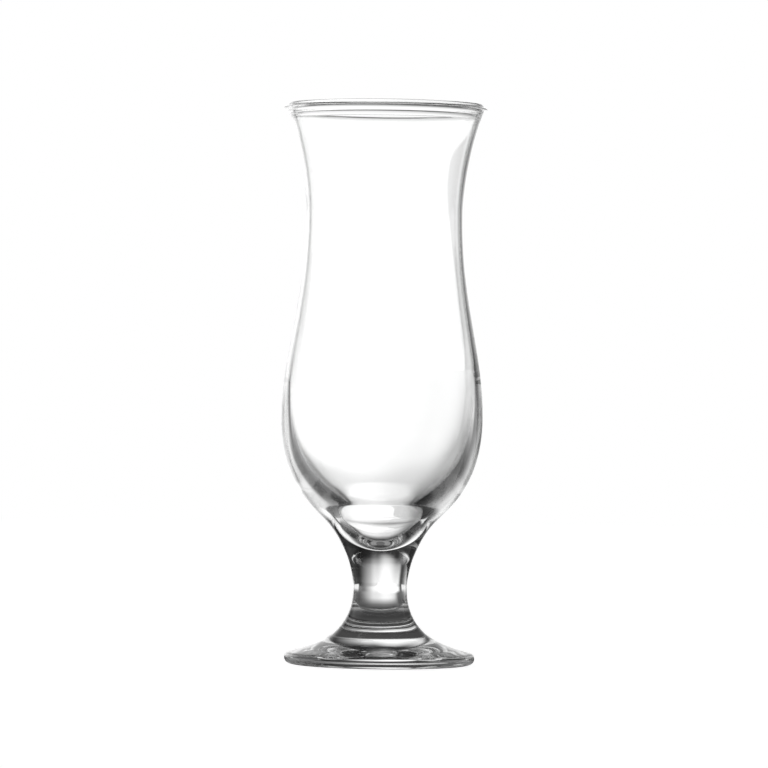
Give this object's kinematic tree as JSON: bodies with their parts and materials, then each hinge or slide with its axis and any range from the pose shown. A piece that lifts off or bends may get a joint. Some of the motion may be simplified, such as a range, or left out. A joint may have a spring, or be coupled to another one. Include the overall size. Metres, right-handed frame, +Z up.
{
  "type": "stemmed glass",
  "caption": "Clear cocktail glass with a rolled flaring lip, a waisted tulip bowl with a thick base, a short solid stem and a spreading round foot, for serving long mixed drinks.",
  "frame": {"origin": "centre of the ring that the foot stands on, at table level", "axes": "+Z up along the axis of the glass; the glass is round, so +X is any direction across it and -Y faces the picture's camera"},
  "size_m": [0.075, 0.075, 0.206],
  "materials": {
    "clear_glass": "fire-polished, clear"
  },
  "bodies": {
    "root": {"bowl": "clear_glass", "stem": "clear_glass", "foot": "clear_glass"}
  },
  "joints": []
}
